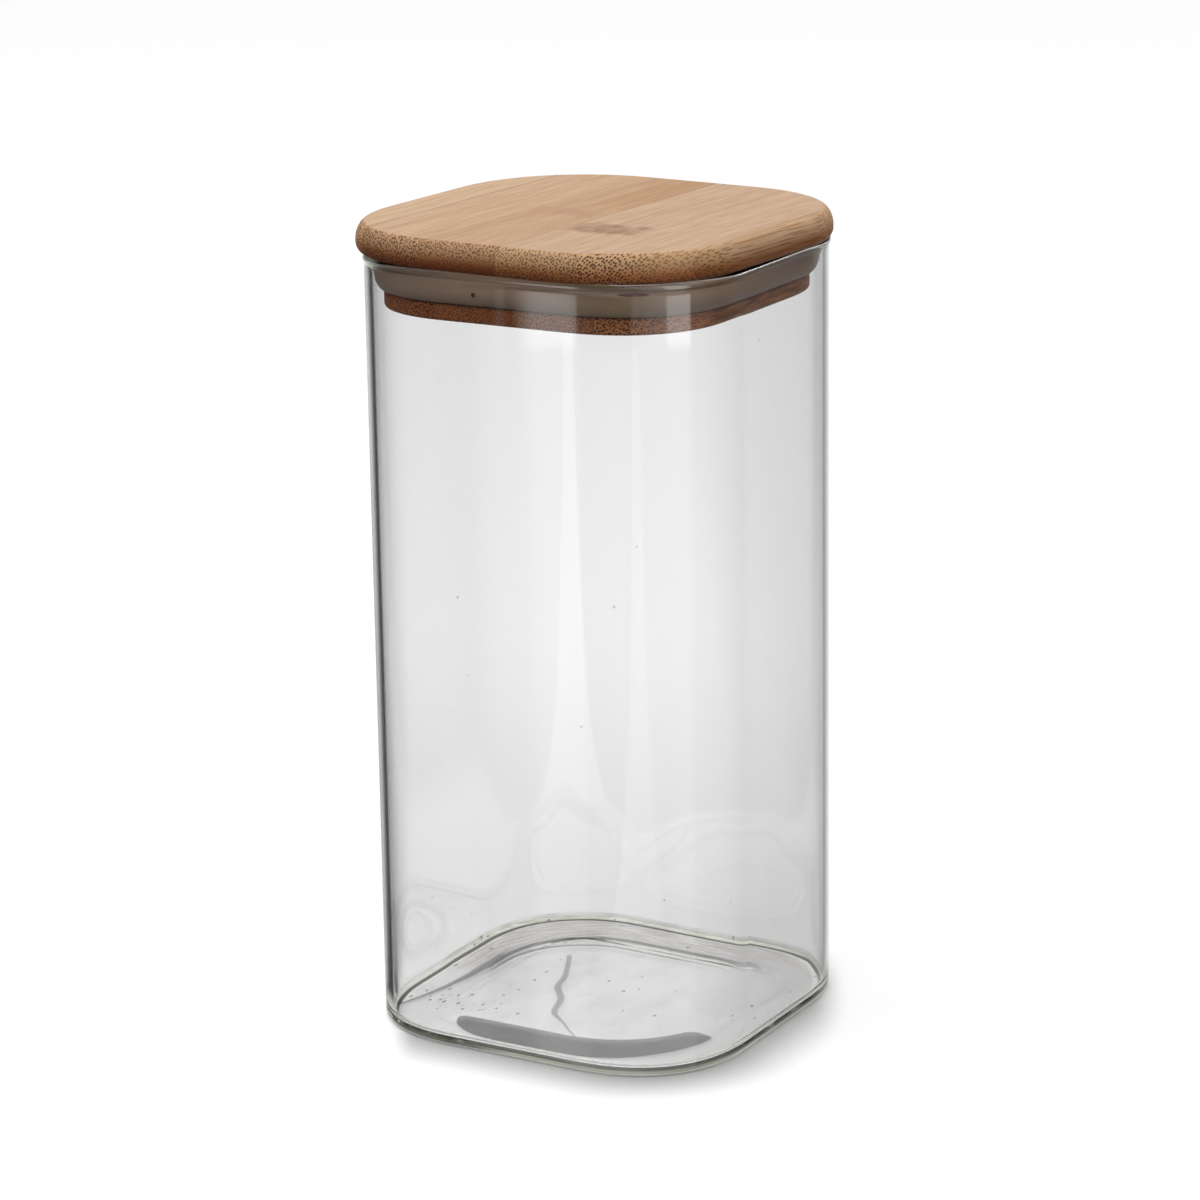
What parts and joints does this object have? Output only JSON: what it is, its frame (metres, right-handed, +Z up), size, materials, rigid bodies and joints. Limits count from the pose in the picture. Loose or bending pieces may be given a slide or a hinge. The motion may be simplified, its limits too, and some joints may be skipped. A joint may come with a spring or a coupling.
{
  "type": "glass storage jar",
  "caption": "Tall square glass jar with soft corners and a lift-off bamboo lid, whose plug carries a silicone seal ring.",
  "frame": {"origin": "middle of the foot, on the surface that the jar stands on", "axes": "+Z up, along the jar's height; the lid strips' grain runs within 3 degrees of Y, so -Y and +Y show end grain"},
  "size_m": [0.1052, 0.1052, 0.2055],
  "materials": {
    "clear_glass": "clear, polished",
    "bamboo": "sanded and lightly oiled bamboo, satin",
    "silicone": "translucent silicone, satin"
  },
  "bodies": {
    "jar": {"glass_body": "clear_glass"},
    "lid": {"lid_strip_1": "bamboo", "lid_strip_2": "bamboo", "lid_strip_3": "bamboo", "lid_strip_4": "bamboo", "lid_strip_5": "bamboo", "lid_strip_6": "bamboo", "seal_ring": "silicone"}
  },
  "joints": [
    {"name": "lid_lift", "type": "slide", "parent": "jar", "child": "lid", "axis": [0, 0, 1], "range_m": [0, 0.06]}
  ]
}
